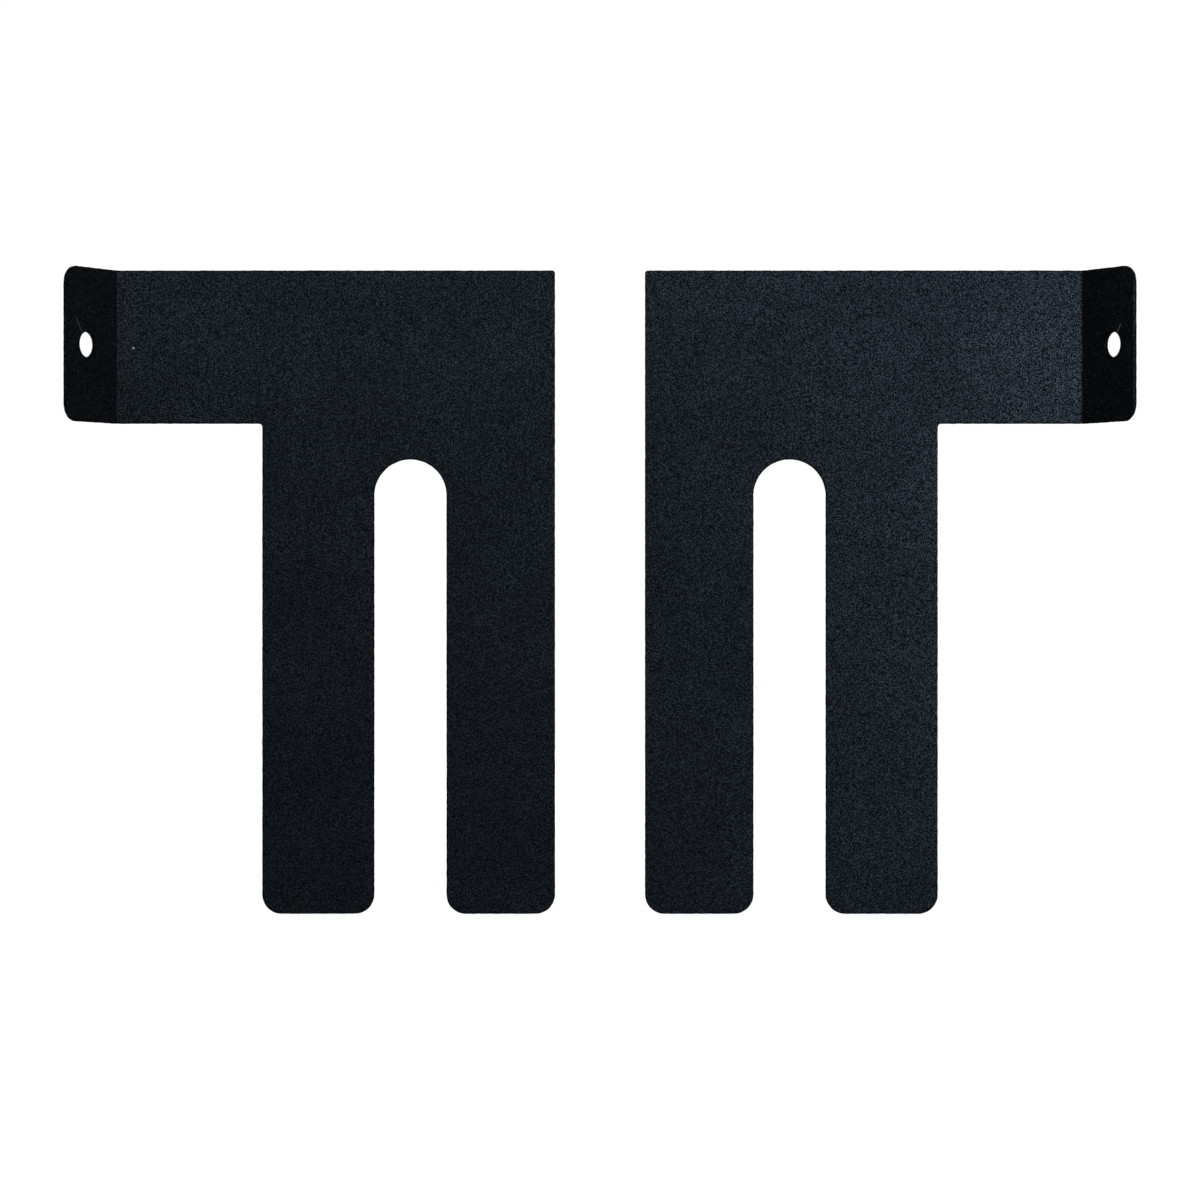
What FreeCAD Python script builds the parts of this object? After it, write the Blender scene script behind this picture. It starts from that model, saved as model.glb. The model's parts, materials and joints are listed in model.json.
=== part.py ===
"""A pair of sheet-steel book ends, a left one and a right one that mirror each other.

Each book end is one piece of sheet, cut to a flat blank and bent once. The plate has a head with two
legs that point down and a round-ended slot between them. An arm runs outwards from the head, and
its end is bent forwards into a tab with one screw hole.

Frame: +Z up, +X to the right, -Y to the front, where the tabs point. The origin is at the height of
the feet, midway between the two book ends, and midway between the tabs' front and the plates' back.
All sizes are in millimetres and degrees.
"""

import FreeCAD
import Part

import math
import os

# Sheet
SHEET = 1.2               # thickness of the steel with its coating

# Plate: a head and two legs
HEIGHT = 180.0            # from the feet to the top edge
INNER_LEG = 30.5          # width of the leg beside the other book end
OUTER_LEG = 31.5          # width of the leg under the arm
SLOT_WIDTH = 20.0         # from leg to leg, and the diameter of the slot's round end
HEAD_DEPTH = 53.0         # from the top edge down to the slot's round end
FOOT_RADIUS = 5.5         # at both corners of each foot
CORNER_RADIUS = 0.9       # at the corners that look nearly square

# Arm and tab
ARM_HEIGHT = 43.0         # of the arm and of the tab at its end
ARM_REACH = 40.5          # from the outer leg's side to the line where the two front faces would meet
BEND = 60.0               # how far the tab is turned forwards out of the plate
BEND_RADIUS = 0.8         # inside the bend
TAB_LENGTH = 23.0         # along the front face, from the line where the front faces would meet
TAB_RADIUS = 5.0          # at the tab's two free corners

# Screw hole in the tab, halfway up it
SCREW = 6.0               # diameter of the screw that holds the book end
SCREW_CLEARANCE = 1.0     # how much wider the hole is than the screw
HOLE_FROM_END = 9.6       # from the tab's end to the hole's centre

# Pair
PAIR_GAP = 25.0           # between the two inner legs at rest

# Places that follow from the sizes above
PLATE_WIDTH = INNER_LEG + SLOT_WIDTH + OUTER_LEG
SLOT_TOP = HEIGHT - HEAD_DEPTH
ARM_BOTTOM = HEIGHT - ARM_HEIGHT
HOLE_DIAMETER = SCREW + SCREW_CLEARANCE
BEND_SETBACK = BEND_RADIUS * math.tan(math.radians(BEND) / 2)
BEND_START = PLATE_WIDTH + ARM_REACH - BEND_SETBACK
TAB_END = BEND_START + TAB_LENGTH - BEND_SETBACK      # with the tab still in line with the arm

SAME_POINT = 1e-6         # points nearer than this are one point
UP = FreeCAD.Vector(0, 0, 1)
BACK = FreeCAD.Vector(0, 1, 0)
RIGHT = FreeCAD.Vector(1, 0, 0)
BEND_CENTRE = FreeCAD.Vector(BEND_START, -BEND_RADIUS, 0)


def corner_arc(before, corner, after, radius):
    """Return the start, middle and end of the arc that rounds a corner."""
    to_before = (before - corner).normalize()
    to_after = (after - corner).normalize()
    half_angle = to_before.getAngle(to_after) / 2
    inwards = (to_before + to_after).normalize()
    tangent_length = radius / math.tan(half_angle)
    nearest = radius / math.sin(half_angle) - radius
    return corner + to_before * tangent_length, corner + inwards * nearest, corner + to_after * tangent_length


def flat_sheet(outline):
    """Make a flat piece of sheet from its corners, each given as x, z and the radius that rounds it."""
    points = [FreeCAD.Vector(x, 0, z) for x, z, _ in outline]
    following = points[1:] + points[:1]
    arcs = []
    for index, (_, _, radius) in enumerate(outline):
        arcs.append(corner_arc(points[index - 1], points[index], following[index], radius))
    edges = []
    for index, (start, middle, end) in enumerate(arcs):
        previous_end = arcs[index - 1][2]
        if not previous_end.isEqual(start, SAME_POINT):
            edges.append(Part.LineSegment(previous_end, start).toShape())
        if not start.isEqual(end, SAME_POINT):
            edges.append(Part.Arc(start, middle, end).toShape())
    return Part.Face(Part.Wire(edges)).extrude(BACK * SHEET)


def make_plate():
    """The head, both legs and the arm, up to where the bend starts. The inner leg's side is at x = 0."""
    slot_left = INNER_LEG
    slot_right = INNER_LEG + SLOT_WIDTH
    slot_radius = SLOT_WIDTH / 2
    return flat_sheet([
        (0, 0, FOOT_RADIUS),
        (slot_left, 0, FOOT_RADIUS),
        (slot_left, SLOT_TOP, slot_radius),
        (slot_right, SLOT_TOP, slot_radius),
        (slot_right, 0, FOOT_RADIUS),
        (PLATE_WIDTH, 0, FOOT_RADIUS),
        (PLATE_WIDTH, ARM_BOTTOM, CORNER_RADIUS),
        (BEND_START, ARM_BOTTOM, 0),
        (BEND_START, HEIGHT, 0),
        (0, HEIGHT, CORNER_RADIUS),
    ])


def make_bend():
    """The curved strip between arm and tab: the sheet's section, turned about the bend's axis."""
    corner = FreeCAD.Vector(BEND_START, 0, ARM_BOTTOM)
    across = BACK * SHEET
    along = UP * ARM_HEIGHT
    section = Part.makePolygon([corner, corner + across, corner + across + along, corner + along, corner])
    return Part.Face(section).revolve(BEND_CENTRE, UP, -BEND)


def make_tab():
    """The tab with its screw hole, cut in line with the arm and then turned about the bend's axis."""
    tab = flat_sheet([
        (BEND_START, ARM_BOTTOM, 0),
        (TAB_END, ARM_BOTTOM, TAB_RADIUS),
        (TAB_END, HEIGHT, TAB_RADIUS),
        (BEND_START, HEIGHT, 0),
    ])
    hole_centre = FreeCAD.Vector(TAB_END - HOLE_FROM_END, 0, ARM_BOTTOM + ARM_HEIGHT / 2)
    tab = tab.cut(Part.makeCylinder(HOLE_DIAMETER / 2, SHEET, hole_centre, BACK))
    tab.rotate(BEND_CENTRE, UP, -BEND)
    return tab


def make_book_end():
    """One whole book end, the right one, placed in the pair's frame."""
    book_end = make_plate().fuse([make_bend(), make_tab()]).removeSplitter().Solids[0]
    box = book_end.BoundBox
    book_end.translate(FreeCAD.Vector(PAIR_GAP / 2, -(box.YMin + box.YMax) / 2, 0))
    return book_end


def main():
    os.makedirs("parts", exist_ok=True)
    right = make_book_end()
    left = right.mirror(FreeCAD.Vector(0, 0, 0), RIGHT)
    for name, book_end in {"left_book_end": left, "right_book_end": right}.items():
        box = book_end.BoundBox
        print(f"{name}: x {box.XMin:.2f} to {box.XMax:.2f}, y {box.YMin:.2f} to {box.YMax:.2f}, "
              f"z {box.ZMin:.2f} to {box.ZMax:.2f} mm, {book_end.Volume / 1000:.2f} cm3")
        book_end.exportStep(f"parts/{name}.step")


main()
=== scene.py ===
# %% [markdown]
# # A pair of coated steel book ends
#
# Each book end is one piece of steel sheet. It was cut flat, bent once near the end of its arm, and
# then sprayed with black powder that was baked to a fine, sandy coat. The left one is the mirror
# image of the right one. This lesson models the right one the way the factory makes it, copies it
# for the left one, and spends the rest of its care on the coat and on the light.

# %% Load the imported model
import json
import math

import bmesh
import bpy
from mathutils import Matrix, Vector


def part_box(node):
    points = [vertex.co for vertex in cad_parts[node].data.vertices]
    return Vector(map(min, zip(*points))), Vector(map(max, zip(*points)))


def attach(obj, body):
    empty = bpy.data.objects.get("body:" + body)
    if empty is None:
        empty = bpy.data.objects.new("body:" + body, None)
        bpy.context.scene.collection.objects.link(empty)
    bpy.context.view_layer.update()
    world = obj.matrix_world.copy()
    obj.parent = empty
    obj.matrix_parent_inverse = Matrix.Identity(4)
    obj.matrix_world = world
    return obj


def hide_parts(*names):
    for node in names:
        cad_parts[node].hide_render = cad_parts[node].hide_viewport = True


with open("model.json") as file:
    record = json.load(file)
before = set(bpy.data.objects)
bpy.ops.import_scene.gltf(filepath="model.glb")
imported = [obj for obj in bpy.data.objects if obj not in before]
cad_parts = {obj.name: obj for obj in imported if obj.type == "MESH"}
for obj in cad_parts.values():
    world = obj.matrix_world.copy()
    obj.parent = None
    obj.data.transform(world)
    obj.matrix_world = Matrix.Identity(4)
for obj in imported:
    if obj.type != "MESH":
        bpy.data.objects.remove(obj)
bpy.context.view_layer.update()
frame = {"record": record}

# %% [markdown]
# ## Sizes
#
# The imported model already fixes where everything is. Most sizes can be read from it: the box round
# the right book end gives its edges, and the mount in the tab gives the sheet's thickness, the hole
# and the direction the tab faces. Only the cut-outs of the flat plate are named again here, because
# a box can't tell a leg from a slot. Blender works in metres, so a millimetre is named once.

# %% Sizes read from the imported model
MM = 0.001
mounts = {mount["name"]: mount for mount in frame["record"]["mounts"]}
hole = mounts["right_tab_hole"]
low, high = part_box("right_book_end")

SHEET = hole["dims"]["length_mm"] * MM
HOLE_RADIUS = hole["dims"]["r_mm"] * MM
HOLE_CENTRE = Vector(hole["pos_m"])
TAB_BACKWARDS = -Vector(hole["axis"])                # square to the tab, out of its back face
BEND = math.atan2(TAB_BACKWARDS.x, TAB_BACKWARDS.y)  # how far the tab is turned forwards
INNER_SIDE = low.x
TOP = high.z
FRONT = high.y - SHEET                               # the plate's front face
TAB_LENGTH = (FRONT - low.y) / math.sin(BEND)
MEETING_LINE = high.x - SHEET * math.sin(BEND) - TAB_LENGTH * math.cos(BEND)
ARM_BOTTOM = 2 * HOLE_CENTRE.z - TOP                 # the hole is halfway up the arm
print(f"sheet {SHEET / MM:.2f} mm, bend {math.degrees(BEND):.1f} degrees, tab {TAB_LENGTH / MM:.2f} mm")

# %% Sizes of the cut-outs
INNER_LEG = 30.5 * MM
SLOT_WIDTH = 20.0 * MM
OUTER_LEG = 31.5 * MM
HEAD_DEPTH = 53.0 * MM
FOOT_RADIUS = 5.5 * MM
TAB_RADIUS = 5.0 * MM
CORNER_RADIUS = 0.9 * MM
BEND_RADIUS = 0.8 * MM

SLOT_LEFT = INNER_SIDE + INNER_LEG
SLOT_RIGHT = SLOT_LEFT + SLOT_WIDTH
OUTER_SIDE = SLOT_RIGHT + OUTER_LEG
SLOT_TOP = TOP - HEAD_DEPTH
BEND_SETBACK = BEND_RADIUS * math.tan(BEND / 2)
BEND_START = MEETING_LINE - BEND_SETBACK
print(f"arm reaches {(MEETING_LINE - OUTER_SIDE) / MM:.2f} mm past the outer leg")

# %% [markdown]
# ## Working in edit mode from a script
#
# Every edit below is the one a person would make by hand: select something, then use a tool. A
# script can't click, so `pick` selects by place. It clears the selection first, because each tool
# acts on everything that is selected.

# %% Helpers for edit mode
SAME_PLACE = 0.001 * MM
STRETCH = 0.8 * MM          # the longest edge along a finished outline


def near(a, b):
    """Tell whether two lengths are the same, to a thousandth of a millimetre."""
    return abs(a - b) < SAME_PLACE


def pick(kind, test, longer_than=0):
    """Select only the vertices, edges or faces whose middle passes the test, and count them.

    Of the edges, those no longer than the length given are left out.
    """
    bpy.ops.mesh.select_mode(type=kind)
    bpy.ops.mesh.select_all(action="DESELECT")
    mesh = bmesh.from_edit_mesh(bpy.context.edit_object.data)
    found = 0
    for element in {"VERT": mesh.verts, "EDGE": mesh.edges, "FACE": mesh.faces}[kind]:
        corners = [element] if kind == "VERT" else element.verts
        middle = sum((corner.co for corner in corners), Vector()) / len(corners)
        long_enough = kind != "EDGE" or element.calc_length() > longer_than
        if long_enough and test(middle):
            element.select_set(True)
            found += 1
    bmesh.update_edit_mesh(bpy.context.edit_object.data)
    return found


def extrude(x, y, z):
    """Pull a new strip out of the selected edges."""
    bpy.ops.mesh.extrude_region_move(TRANSFORM_OT_translate={"value": (x, y, z)})


def round_corners(radius, segments, test):
    """Turn the corners that pass the test into arcs."""
    found = pick("VERT", test)
    bpy.ops.mesh.bevel(affect="VERTICES", offset=radius, segments=segments)
    print(f"rounded {found} corners to {radius / MM:.1f} mm")


def describe(piece):
    """Print how many faces a piece has and how large it is."""
    size = ", ".join(f"{side / MM:.2f}" for side in piece.dimensions)
    print(f"{piece.name}: {len(piece.data.polygons)} faces, {size} mm")


def divide_outline(on_face, on_seam):
    """Halve the edges round one flat face until they are short, apart from those on its seam.

    The face is taken off first and filled in again, because the tool would cut across it as well.
    """
    pick("FACE", on_face)
    bpy.ops.mesh.delete(type="ONLY_FACE")
    while pick("EDGE", lambda p: on_face(p) and not on_seam(p), longer_than=STRETCH):
        bpy.ops.mesh.subdivide(number_cuts=1)
    found = pick("EDGE", on_face)
    bpy.ops.mesh.edge_face_add()
    print(f"outline of {found} stretches")


# %% [markdown]
# ## The blank
#
# The real part starts as a flat blank cut by a laser. The outline could be drawn as a curve and
# filled, but growing it from one rectangle keeps every step visible: the inner leg is a plane, the
# head is pulled up out of it and across, and the outer leg is pulled down.

# %% Grow the blank from one leg
bpy.ops.object.select_all(action="DESELECT")
leg_centre = (INNER_SIDE + INNER_LEG / 2, FRONT, SLOT_TOP / 2)
bpy.ops.mesh.primitive_plane_add(size=1, location=leg_centre, rotation=(math.pi / 2, 0, 0))
right_sheet = bpy.context.object
right_sheet.name = "right_sheet"
right_sheet.scale = (INNER_LEG, SLOT_TOP, 1)
bpy.ops.object.transform_apply(location=True, rotation=True, scale=True)

bpy.ops.object.mode_set(mode="EDIT")
pick("EDGE", lambda p: near(p.z, SLOT_TOP))
extrude(0, 0, HEAD_DEPTH)
pick("EDGE", lambda p: near(p.x, SLOT_LEFT) and p.z > SLOT_TOP)
extrude(SLOT_WIDTH, 0, 0)
extrude(OUTER_LEG, 0, 0)
pick("EDGE", lambda p: p.x > SLOT_RIGHT and near(p.z, SLOT_TOP))
extrude(0, 0, -SLOT_TOP)
bpy.ops.object.mode_set(mode="OBJECT")
describe(right_sheet)

# %% [markdown]
# ## Arm, square edges and round corners
#
# The arm leaves the head above the outer leg, so a cut across the blank at the arm's lower edge
# splits the head's side in two, and the upper part is pulled out as the arm. The seams inside the
# outline have then done their work. They are dissolved, because a corner that only two edges meet
# in is one that the bevel tool can round cleanly.

# %% Pull out the arm and round the plate's corners
FOOT_SEGMENTS = 12
SLOT_SEGMENTS = 24
CORNER_SEGMENTS = 4
bpy.ops.object.mode_set(mode="EDIT")
bpy.ops.mesh.select_all(action="SELECT")
bpy.ops.mesh.bisect(plane_co=(0, 0, ARM_BOTTOM), plane_no=(0, 0, 1))
pick("EDGE", lambda p: near(p.x, OUTER_SIDE) and p.z > ARM_BOTTOM)
extrude(BEND_START - OUTER_SIDE, 0, 0)
bpy.ops.mesh.select_all(action="SELECT")
bpy.ops.mesh.dissolve_limited(angle_limit=math.radians(1))

round_corners(FOOT_RADIUS, FOOT_SEGMENTS, lambda p: near(p.z, 0))
round_corners(
    SLOT_WIDTH / 2,
    SLOT_SEGMENTS,
    lambda p: near(p.z, SLOT_TOP) and p.x < OUTER_SIDE - FOOT_RADIUS,
)
bpy.ops.mesh.select_all(action="SELECT")
bpy.ops.mesh.remove_doubles(threshold=SAME_PLACE)
round_corners(CORNER_RADIUS, CORNER_SEGMENTS, lambda p: near(p.x, INNER_SIDE) and near(p.z, TOP))
round_corners(CORNER_RADIUS, CORNER_SEGMENTS, lambda p: near(p.x, OUTER_SIDE) and near(p.z, ARM_BOTTOM))
divide_outline(lambda p: near(p.y, FRONT), lambda p: near(p.x, BEND_START))
bpy.ops.object.mode_set(mode="OBJECT")
describe(right_sheet)

# %% [markdown]
# ## Bend and tab
#
# On a press brake the arm's end folds round a small radius. Spin does the same to an edge: it
# sweeps the arm's end about the bend's axis in small steps, and extrude carries on straight from
# there as the tab.

# %% Spin the bend and pull out the tab
BEND_STEPS = 12
TAB_SEGMENTS = 12
bpy.ops.object.mode_set(mode="EDIT")
pick("EDGE", lambda p: near(p.x, BEND_START))
bend_centre = (BEND_START, FRONT - BEND_RADIUS, 0)
bpy.ops.mesh.spin(steps=BEND_STEPS, angle=BEND, center=bend_centre, axis=(0, 0, 1))
tab_straight = TAB_LENGTH - BEND_SETBACK
extrude(tab_straight * math.cos(BEND), -tab_straight * math.sin(BEND), 0)
tab_end_y = FRONT - TAB_LENGTH * math.sin(BEND)
round_corners(TAB_RADIUS, TAB_SEGMENTS, lambda p: near(p.y, tab_end_y))
tab_start_y = FRONT - BEND_SETBACK * math.sin(BEND)
divide_outline(lambda p: p.y < tab_start_y + SAME_PLACE, lambda p: near(p.y, tab_start_y))
bpy.ops.object.mode_set(mode="OBJECT")
describe(right_sheet)

# %% [markdown]
# ## Thickness and the screw hole
#
# Spin leaves its strips facing the other way from the plate, so all faces are turned the same way
# before the sheet gets its thickness. Solidify then grows the back face, and keeps the outside of
# the bend at its true radius. The hole is drilled last with a Boolean, along the line that the
# mount gives. Its rim has enough sides to look round from close by.

# %% Face the sheet forwards and make it solid
bpy.ops.object.mode_set(mode="EDIT")
bpy.ops.mesh.select_all(action="SELECT")
bpy.ops.mesh.remove_doubles(threshold=SAME_PLACE)
bpy.ops.mesh.normals_make_consistent(inside=False)
mesh = bmesh.from_edit_mesh(right_sheet.data)
mesh.normal_update()
plate_face = max(mesh.faces, key=lambda face: face.calc_area())
if plate_face.normal.y > 0:
    bpy.ops.mesh.flip_normals()
bpy.ops.object.mode_set(mode="OBJECT")


def finish_with(piece, kind, **settings):
    """Add a modifier to a piece and apply it at once."""
    bpy.ops.object.select_all(action="DESELECT")
    bpy.context.view_layer.objects.active = piece
    piece.select_set(True)
    modifier = piece.modifiers.new(kind.title(), kind)
    for name, value in settings.items():
        setattr(modifier, name, value)
    bpy.ops.object.modifier_apply(modifier=modifier.name)


finish_with(right_sheet, "SOLIDIFY", thickness=SHEET, offset=-1, use_even_offset=True)
describe(right_sheet)

# %% Drill the hole
HOLE_SIDES = 64
turned = TAB_BACKWARDS.to_track_quat("Z", "Y").to_euler()
bpy.ops.mesh.primitive_cylinder_add(vertices=HOLE_SIDES, radius=HOLE_RADIUS, depth=4 * SHEET,
                                    location=HOLE_CENTRE, rotation=turned)
drill = bpy.context.object
finish_with(right_sheet, "BOOLEAN", object=drill, operation="DIFFERENCE", solver="EXACT")
bpy.data.objects.remove(drill)
describe(right_sheet)

# %% [markdown]
# ## Soft edges
#
# A laser leaves a crisp edge, and the baked coat rounds it off to a quarter of a millimetre. A
# bevel modifier does that on every edge that is sharper than the bend's own small steps.

# %% Round the edges
EDGE_ROUND = 0.25 * MM
EDGE_SEGMENTS = 3
SHARP = math.radians(40)
finish_with(right_sheet, "BEVEL", width=EDGE_ROUND, segments=EDGE_SEGMENTS, limit_method="ANGLE",
            angle_limit=SHARP)
describe(right_sheet)

# %% [markdown]
# ## A rim inside the outline
#
# The coat is lumpiest along the outline, where the powder piles up. The lumps must not reach the
# broad faces, because a flat face with a moved corner shows false shadows. One inset round each
# side of the sheet, bend included, sets off a rim a third of a millimetre wide. A number stored on
# each point says how much painted shade the colour gets there: 1 on the outline, which is where
# that rim meets the rounded edge and the first step down that edge, so a painted dark line runs
# round each sheet; less inside the fold, where painted shade covers the fold's highlight; and 0
# elsewhere.

# %% Inset a rim and store where shade is painted
RIM_WIDTH = 0.35 * MM
BROAD = 1.0 * MM * MM
# Painted shade inside the fold, weaker than on the outline.
FOLD_SHADE = 0.6
bpy.ops.object.mode_set(mode="EDIT")
bpy.ops.mesh.select_mode(type="FACE")
bpy.ops.mesh.select_all(action="DESELECT")
mesh = bmesh.from_edit_mesh(right_sheet.data)
for face in mesh.faces:
    face.select_set(face.calc_area() > BROAD)
bmesh.update_edit_mesh(right_sheet.data)
bpy.ops.mesh.inset(thickness=RIM_WIDTH, use_even_offset=True)
bpy.ops.object.mode_set(mode="OBJECT")
faces = right_sheet.data.polygons
broad_points = {corner for face in faces if face.area > BROAD for corner in face.vertices}
ring_faces = [face for face in faces if not broad_points.isdisjoint(face.vertices)]
ring_points = {corner for face in ring_faces for corner in face.vertices}
ring_edge_points = ring_points - broad_points
rounded_faces = [face for face in faces if not ring_edge_points.isdisjoint(face.vertices)]
outline_points = {corner for face in rounded_faces for corner in face.vertices} - broad_points
fold_end = BEND_START + BEND_RADIUS * math.sin(BEND)


def painted_shade_at(point):
    """How much painted shade the colour gets at a point of the mesh, from 0 to 1."""
    if point.index in outline_points:
        return 1.0
    across, depth, _ = point.co
    in_fold = BEND_START + SAME_PLACE < across < fold_end - SAME_PLACE and depth < FRONT
    return FOLD_SHADE if in_fold else 0.0


# The painted shade is stored on the points for the shader.
painted_edge_and_fold_shade = right_sheet.data.attributes.new("painted_edge_and_fold_shade", "FLOAT", "POINT")
painted_edge_and_fold_shade.data.foreach_set("value", [painted_shade_at(point) for point in right_sheet.data.vertices])
describe(right_sheet)
print(f"{len(outline_points)} points on the outline")

# %% Gather the points that may be lumpy: all but the broad faces and the machined hole
HOLE_SURROUND = 1.4 * HOLE_RADIUS
edge_points = [
    point.index for point in right_sheet.data.vertices
    if point.index not in broad_points and (point.co - HOLE_CENTRE).length > HOLE_SURROUND
]
right_sheet.vertex_groups.new(name="edge").add(edge_points, 1, "ADD")
print(f"{len(edge_points)} points in the edge group")

# %% [markdown]
# ## The left book end
#
# The left one is bent the other way from the same blank. It is a mirrored copy with a mesh of its
# own. A mirrored mesh is inside out, so its faces are turned outwards again.

# %% Mirror a copy
bpy.ops.object.select_all(action="DESELECT")
right_sheet.select_set(True)
bpy.context.view_layer.objects.active = right_sheet
bpy.ops.object.duplicate(linked=False)
left_sheet = bpy.context.object
left_sheet.name = "left_sheet"
left_sheet.scale.x = -1
bpy.ops.object.transform_apply(location=True, rotation=True, scale=True)
bpy.ops.object.mode_set(mode="EDIT")
bpy.ops.mesh.select_all(action="SELECT")
bpy.ops.mesh.normals_make_consistent(inside=False)
bpy.ops.object.mode_set(mode="OBJECT")
describe(left_sheet)

# %% [markdown]
# ## Lumps along the edges
#
# A cloud pattern moves the gathered points, and only inwards, so that neither piece grows past the
# true size of the sheet. The pattern is fixed in space, so left and right get different lumps.
# Last, Weighted Normal lets the large faces decide the shading, and they stay flat up to the rim.

# %% Displace the edges and smooth the shading
LUMP_SIZE = 1.3 * MM
LUMP_DEPTH = 0.16 * MM
SHARP_SHADING = math.radians(50)
lumps = bpy.data.textures.new("coat_lumps", "CLOUDS")
lumps.noise_scale = LUMP_SIZE
lumps.noise_depth = 1

for piece in (left_sheet, right_sheet):
    finish_with(piece, "DISPLACE", texture=lumps, texture_coords="LOCAL", vertex_group="edge",
                strength=LUMP_DEPTH, mid_level=1)
    bpy.ops.object.shade_smooth_by_angle(angle=SHARP_SHADING)
    finish_with(piece, "WEIGHTED_NORMAL", weight=100, keep_sharp=True)
    describe(piece)

# %% [markdown]
# ## Which piece stands for which part
#
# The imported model's two plain solids are hidden, and each modelled sheet takes the place of its own
# and moves with the same body.

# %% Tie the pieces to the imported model
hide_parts("left_book_end")
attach(left_sheet, "left")
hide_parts("right_book_end")
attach(right_sheet, "right")

# %% [markdown]
# ## Sums on shader values
#
# A pattern is mostly arithmetic: add two noises, cut off the low part, turn it round with
# `1 - mask`. Wiring a Math node for each step hides the idea, so this small class wraps one output
# socket, and Python's own operators add the nodes. Everything that isn't arithmetic comes from the
# one method `node`.

# %% A wrapper round a shader socket
class Signal:
    """One output of a shader node. Arithmetic on it adds the Math nodes that work it out."""

    tree = None

    def __init__(self, socket):
        self.socket = socket

    @classmethod
    def node(cls, kind, settings, inputs, output=0):
        """Add a node, set it up, then give its inputs numbers, colours or other signals."""
        made = cls.tree.nodes.new(kind)
        for name, setting in settings.items():
            setattr(made, name, setting)
        for name, value in inputs.items():
            if isinstance(value, Signal):
                cls.tree.links.new(value.socket, made.inputs[name])
            else:
                made.inputs[name].default_value = value
        return cls(made.outputs[output])

    @classmethod
    def math(cls, operation, *values):
        """Add one Math node."""
        return cls.node("ShaderNodeMath", {"operation": operation}, dict(enumerate(values)))

    @classmethod
    def vector(cls, operation, *values):
        """Add one Vector Math node. Dot products and lengths come out as plain numbers."""
        output = 1 if operation in ("DOT_PRODUCT", "LENGTH") else 0
        return cls.node("ShaderNodeVectorMath", {"operation": operation}, dict(enumerate(values)), output)

    def __add__(self, other):
        return self.math("ADD", self, other)

    def __sub__(self, other):
        return self.math("SUBTRACT", self, other)

    def __rsub__(self, other):
        return self.math("SUBTRACT", other, self)

    def __mul__(self, other):
        return self.math("MULTIPLY", self, other)

    __radd__ = __add__
    __rmul__ = __mul__

    def clamped(self):
        """The same value, kept between 0 and 1."""
        return self.math("MINIMUM", self.math("MAXIMUM", self, 0), 1)

    def rise(self, start, end):
        """0 below start, 1 above end, and a smooth step between them."""
        return self.node("ShaderNodeMapRange", {"interpolation_type": "SMOOTHSTEP"},
                         {"Value": self, "From Min": start, "From Max": end})


# The Mix node has a set of sockets for each kind of value. These are the numbers of its colour set.
MIX_FACTOR = 0
MIX_FIRST = 6
MIX_SECOND = 7
MIX_COLOUR = 2


def blend_colours(factor, without, with_it):
    """Mix two colours, each given as red, green and blue or as another signal."""
    inputs = {MIX_FACTOR: factor, MIX_FIRST: without, MIX_SECOND: with_it}
    for socket in (MIX_FIRST, MIX_SECOND):
        if not isinstance(inputs[socket], Signal):
            inputs[socket] = (*inputs[socket], 1)
    return Signal.node("ShaderNodeMix", {"data_type": "RGBA"}, inputs, output=MIX_COLOUR)


# %% [markdown]
# ## Grain
#
# Fine-textured powder coat is a black skin of tiny grains that melted together: flat-topped ridges
# with pits between them, each about a quarter of a millimetre across. Two noises and a pattern of
# cells at nearly the same size are added up, so that none of them repeats visibly. The sum is the
# coat's height. The ridges are where it is high, and they come back in the colour, the roughness,
# the sheen and the bump, because on the real coat all four come from the one surface.

# %% Height of the coat, and its ridges
GRAIN_SIZE = 0.27 * MM
SWELL_SIZE = 0.16 * MM
CELL_SIZE = 0.30 * MM
GRAIN_SHARE = 0.5
SWELL_SHARE = 0.2
CELL_SHARE = 0.3
PIT_LEVEL = 0.50
RIDGE_LEVEL = 0.60

coat = bpy.data.materials.new("black_powder_coat")
coat.use_nodes = True
coat.node_tree.nodes.clear()
Signal.tree = coat.node_tree
place = Signal.node("ShaderNodeTexCoord", {}, {}, output="Object")


def noise(size, detail):
    """Soft blobs of about this size, as a value between 0 and 1."""
    return Signal.node("ShaderNodeTexNoise", {}, {"Vector": place, "Scale": 1 / size, "Detail": detail})


cells = Signal.node("ShaderNodeTexVoronoi", {"feature": "F1"}, {"Vector": place, "Scale": 1 / CELL_SIZE})
grain = noise(GRAIN_SIZE, detail=1)
swell = noise(SWELL_SIZE, detail=0)
height = grain * GRAIN_SHARE + swell * SWELL_SHARE + (1 - cells) * CELL_SHARE
ridge = height.rise(PIT_LEVEL, RIDGE_LEVEL)
print(f"grain of {GRAIN_SIZE / MM:.2f} mm")

# %% [markdown]
# ## Patches, painted glints and painted edge shade
#
# The spray gun never lays the powder evenly. Patches a couple of centimetres wide are a little
# glossier and bluer than the rest. Here and there a pale speck is painted into the colour: a
# painted glint, which stands in for a highlight. A fine painted dark line, painted shade, runs
# round each sheet along the outline, where the gloss is also duller, and painted shade darkens the
# inside of the fold. The number stored on the points comes back for that.

# %% Patches, painted glints and painted edge shade
PATCH_SIZE = 22 * MM
GLINT_SIZE = 0.24 * MM
patchy = noise(PATCH_SIZE, detail=3).rise(start=0.3, end=0.7)
# Painted highlight: rare pale specks in the colour stand in for glints.
painted_glints = noise(GLINT_SIZE, detail=0).rise(start=0.69, end=0.78)
# The painted shade of the outline and the fold, read back from the points.
edge_and_fold_shade = Signal.node("ShaderNodeAttribute", {"attribute_name": "painted_edge_and_fold_shade"}, {}, output="Fac")

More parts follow.
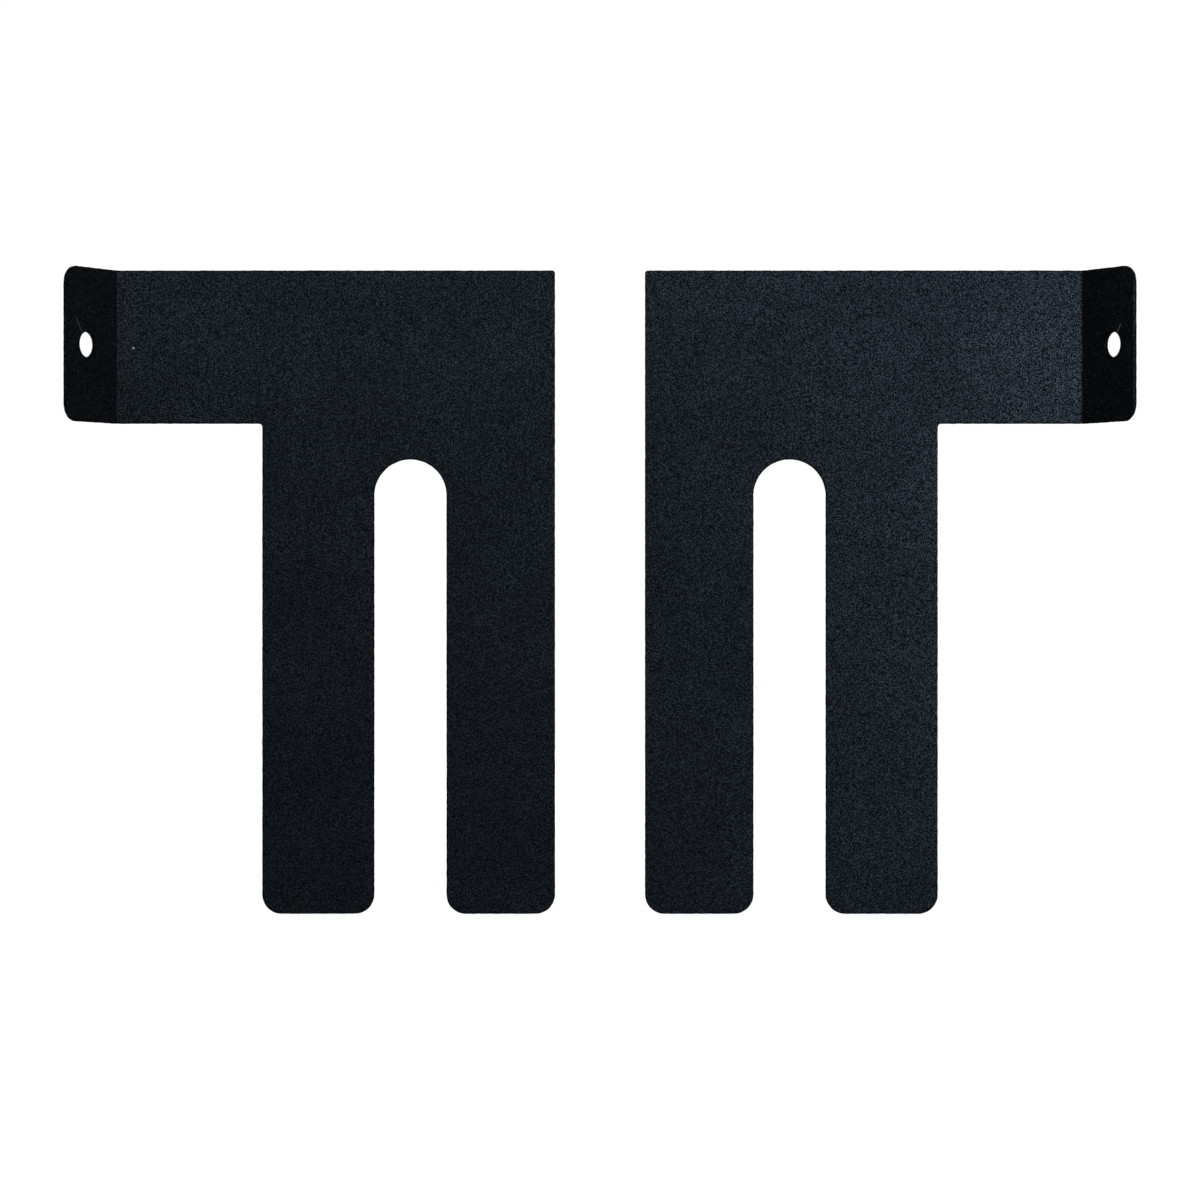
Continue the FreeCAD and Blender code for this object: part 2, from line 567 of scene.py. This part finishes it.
# %% [markdown]
# ## Small marks
#
# The pair has been handled. A driver slipped beside each hole and scratched the coat, and a pale
# fleck of dust sticks to the left arm. Each mark is a short line with a width, and a point on the
# coat is part of it if the point is near enough to the line. So the shader measures that distance.

# %% Marks
SCRATCH_WIDTH = 0.22 * MM
SCUFF_WIDTH = 0.45 * MM
FLECK_WIDTH = 0.5 * MM
LEFT = -1
RIGHT = 1


def beside_hole(side, outwards, up):
    """A point on a tab's front face, measured from the hole towards the tab's end and up."""
    along_tab = Vector((math.cos(BEND), -math.sin(BEND), 0))
    point = HOLE_CENTRE - TAB_BACKWARDS * SHEET / 2 + along_tab * outwards + Vector((0, 0, up))
    return Vector((side * point.x, point.y, point.z))


def mark(start, end, width):
    """1 on a line from start to end that is this wide, and 0 away from it."""
    run = end - start
    offset = Signal.vector("SUBTRACT", place, start)
    share = Signal.vector("DOT_PRODUCT", offset, run / run.length_squared).clamped()
    nearest = Signal.vector("MULTIPLY", share, run)
    distance = Signal.vector("LENGTH", Signal.vector("SUBTRACT", offset, nearest))
    return 1 - distance.rise(width / 4, width / 2)


scratch_start = beside_hole(LEFT, outwards=5.2 * MM, up=7.1 * MM)
scratch_end = beside_hole(LEFT, outwards=2.4 * MM, up=3.2 * MM)
left_scratch = mark(scratch_start, scratch_end, SCRATCH_WIDTH)
scuff_start = beside_hole(RIGHT, outwards=3.7 * MM, up=5.4 * MM)
scuff_end = beside_hole(RIGHT, outwards=2.4 * MM, up=3.4 * MM)
right_scuff = mark(scuff_start, scuff_end, SCUFF_WIDTH)
fleck_foot = Vector((4.6 * MM - MEETING_LINE, FRONT, TOP - 21.8 * MM))
fleck = mark(fleck_foot, fleck_foot + Vector((0, 0, 0.1 * MM)), FLECK_WIDTH)
print(f"left scratch {(scratch_end - scratch_start).length / MM:.1f} mm long")

# %% [markdown]
# ## Colours, roughness and sheen
#
# The pits are a neutral black and the ridges a slightly blue one. A coat this dark shows almost
# only its gloss, so the grain has to show in the gloss as well. The shader's second layer, which
# stands for the film of resin that rises to the top in the oven, is strong on the ridges and nearly
# missing in the pits.

# %% Colour, roughness and sheen
PIT_BLACK = (0.0012, 0.0011, 0.0010)
RIDGE_GREY = (0.0019, 0.0018, 0.0016)
RIDGE_BLUE = (0.0020, 0.0021, 0.0022)
# Painted highlight: the colour of the painted glints.
PAINTED_GLINT_GREY = (0.035, 0.035, 0.035)
# Painted shade: the dark line round the outline and the shade inside the fold.
PAINTED_SHADE_BLACK = (0.0010, 0.0010, 0.0010)
SCRATCH_GREY = (0.045, 0.043, 0.040)
DUST_WHITE = (0.5, 0.5, 0.48)

RIDGE_TINT = 0.6
PAINTED_SHADE_STRENGTH = 0.8
PIT_ROUGHNESS = 0.50
RIDGE_POLISH = 0.10
EDGE_AND_FOLD_DULLNESS = 0.3
PIT_SHEEN = 0.03
RIDGE_SHEEN = 0.73
PATCH_SHEEN = 0.24

colour = blend_colours(ridge * RIDGE_TINT, PIT_BLACK, blend_colours(patchy, RIDGE_GREY, RIDGE_BLUE))
# Painted highlight: the glints are painted into the colour here.
colour = blend_colours(painted_glints, colour, PAINTED_GLINT_GREY)
# Painted shade: the outline and the fold are darkened here.
colour = blend_colours(edge_and_fold_shade * PAINTED_SHADE_STRENGTH, colour, PAINTED_SHADE_BLACK)
colour = blend_colours((left_scratch + right_scuff).clamped(), colour, SCRATCH_GREY)
colour = blend_colours(fleck, colour, DUST_WHITE)
roughness = PIT_ROUGHNESS - ridge * RIDGE_POLISH + edge_and_fold_shade * EDGE_AND_FOLD_DULLNESS
unglossed = (edge_and_fold_shade + left_scratch + right_scuff + fleck).clamped()
sheen = (PIT_SHEEN + ridge * (RIDGE_SHEEN + patchy * PATCH_SHEEN)) * (1 - unglossed)

# %% [markdown]
# ## Putting the coat together
#
# The amount of gloss, its tint and the resin film's own roughness are the same all over, so they
# are set on the shader itself.

# %% Shader of the coat
BUMP_HEIGHT = 0.25 * MM
GLOSS = 0.03
GLOSS_TINT = (0.50, 0.72, 1.0, 1.0)
FILM_ROUGHNESS = 0.40
FILM_IOR = 1.75
normal = Signal.node("ShaderNodeBump", {}, {"Strength": 1.0, "Distance": BUMP_HEIGHT, "Height": height})
shader = Signal.node("ShaderNodeBsdfPrincipled", {}, {
    "Base Color": colour, "Roughness": roughness, "Normal": normal,
    "Specular IOR Level": GLOSS, "Specular Tint": GLOSS_TINT,
    "Coat Weight": sheen, "Coat Roughness": FILM_ROUGHNESS, "Coat IOR": FILM_IOR,
})
material_output = coat.node_tree.nodes.new("ShaderNodeOutputMaterial")
coat.node_tree.links.new(shader.socket, material_output.inputs["Surface"])
for piece in (left_sheet, right_sheet):
    piece.data.materials.clear()
    piece.data.materials.append(coat)
print(f"{coat.name}: {len(coat.node_tree.nodes)} nodes")

# %% [markdown]
# ## Floor and wall
#
# The pair stands on a white studio floor with a round white wall about it, both plain and matt.
# Reflections pass through them, as if black cloth hung behind the lamps. Otherwise the white room
# would lay a grey veil over the black coat.

# %% Stage
STAGE_RADIUS = 2.6
WALL_HEIGHT = 3.2
STAGE_SIDES = 96
WHITE = (1, 1, 1, 1)


def paper(name, reflected, glow):
    """Make a matt white stage material that also glows by itself."""
    material = bpy.data.materials.new(name)
    material.use_nodes = True
    material.cycles.emission_sampling = "NONE"
    shader = material.node_tree.nodes["Principled BSDF"]
    shader.inputs["Base Color"].default_value = (reflected, reflected, reflected, 1)
    shader.inputs["Roughness"].default_value = 1.0
    shader.inputs["Specular IOR Level"].default_value = 0.0
    shader.inputs["Emission Color"].default_value = WHITE
    shader.inputs["Emission Strength"].default_value = glow
    return material


bpy.ops.mesh.primitive_circle_add(vertices=STAGE_SIDES, radius=STAGE_RADIUS, fill_type="NGON")
floor = bpy.context.object
floor.name = "floor"
bpy.ops.mesh.primitive_cylinder_add(vertices=STAGE_SIDES, radius=STAGE_RADIUS, depth=WALL_HEIGHT,
                                    end_fill_type="NOTHING", location=(0, 0, WALL_HEIGHT / 2))
wall = bpy.context.object
wall.name = "wall"
floor.data.materials.append(paper("floor_paper", reflected=0.4, glow=0.75))
wall.data.materials.append(paper("wall_paper", reflected=0.0, glow=1.05))
for backdrop in (floor, wall):
    backdrop.visible_glossy = False
print(f"stage {2 * STAGE_RADIUS} m across")

# %% [markdown]
# ## Camera
#
# A long lens looks level and squarely at the plates from over a metre away, so that upright lines
# stay upright. Each tab still shows its front face, because it is nearer to the lens and turned
# towards the middle.

# %% Camera
CAMERA_DISTANCE = 1.118
CAMERA_HEIGHT = 0.0878
LENS = 120                  # mm
SENSOR = 36                 # mm
camera = bpy.data.objects.new("camera", bpy.data.cameras.new("camera"))
bpy.context.scene.collection.objects.link(camera)
camera.location = (0, FRONT - CAMERA_DISTANCE, CAMERA_HEIGHT)
camera.rotation_euler = (math.pi / 2, 0, 0)
camera.data.lens = LENS
camera.data.sensor_width = SENSOR
bpy.context.scene.camera = camera

# %% [markdown]
# ## Lamps
#
# Soft lamps in a cool white. The key lamp stands far to the right, so the right arm is the
# brightest and the sheen fades towards the left. A weaker lamp at the upper left keeps the left arm
# alive, and two above brighten the heads. One more stands behind, for the backs, and so near the
# middle that it can't shine past the arms onto the tabs' front faces.

# %% Lamps
COOL = (0.55, 0.76, 1.0)
AIM = Vector((0, 0, 0.1))
DARK_GREY = (0.03, 0.03, 0.03, 1)


def softbox(name, location, size, power):
    """Add a square soft lamp that faces the middle of the pair."""
    data = bpy.data.lights.new(name, "AREA")
    data.shape = "SQUARE"
    data.size = size
    data.energy = power
    data.color = COOL
    lamp = bpy.data.objects.new(name, data)
    bpy.context.scene.collection.objects.link(lamp)
    lamp.location = location
    lamp.rotation_euler = (AIM - lamp.location).to_track_quat("-Z", "Y").to_euler()
    lamp.visible_camera = False


softbox("key_lamp", (0.61, -0.96, 0.17), size=0.3, power=6.8)
softbox("left_lamp", (-0.34, -0.61, 0.41), size=0.3, power=1.1)
softbox("upper_lamp", (0.24, -0.47, 0.34), size=0.3, power=0.3)
softbox("top_lamp", (0.0, -0.16, 0.31), size=0.2, power=0.22)
softbox("back_lamp", (-0.2, 1.0, 0.45), size=0.3, power=5.0)

world = bpy.data.worlds.new("studio")
world.use_nodes = True
world.node_tree.nodes["Background"].inputs["Color"].default_value = DARK_GREY
bpy.context.scene.world = world
bpy.context.scene.view_settings.view_transform = "Standard"
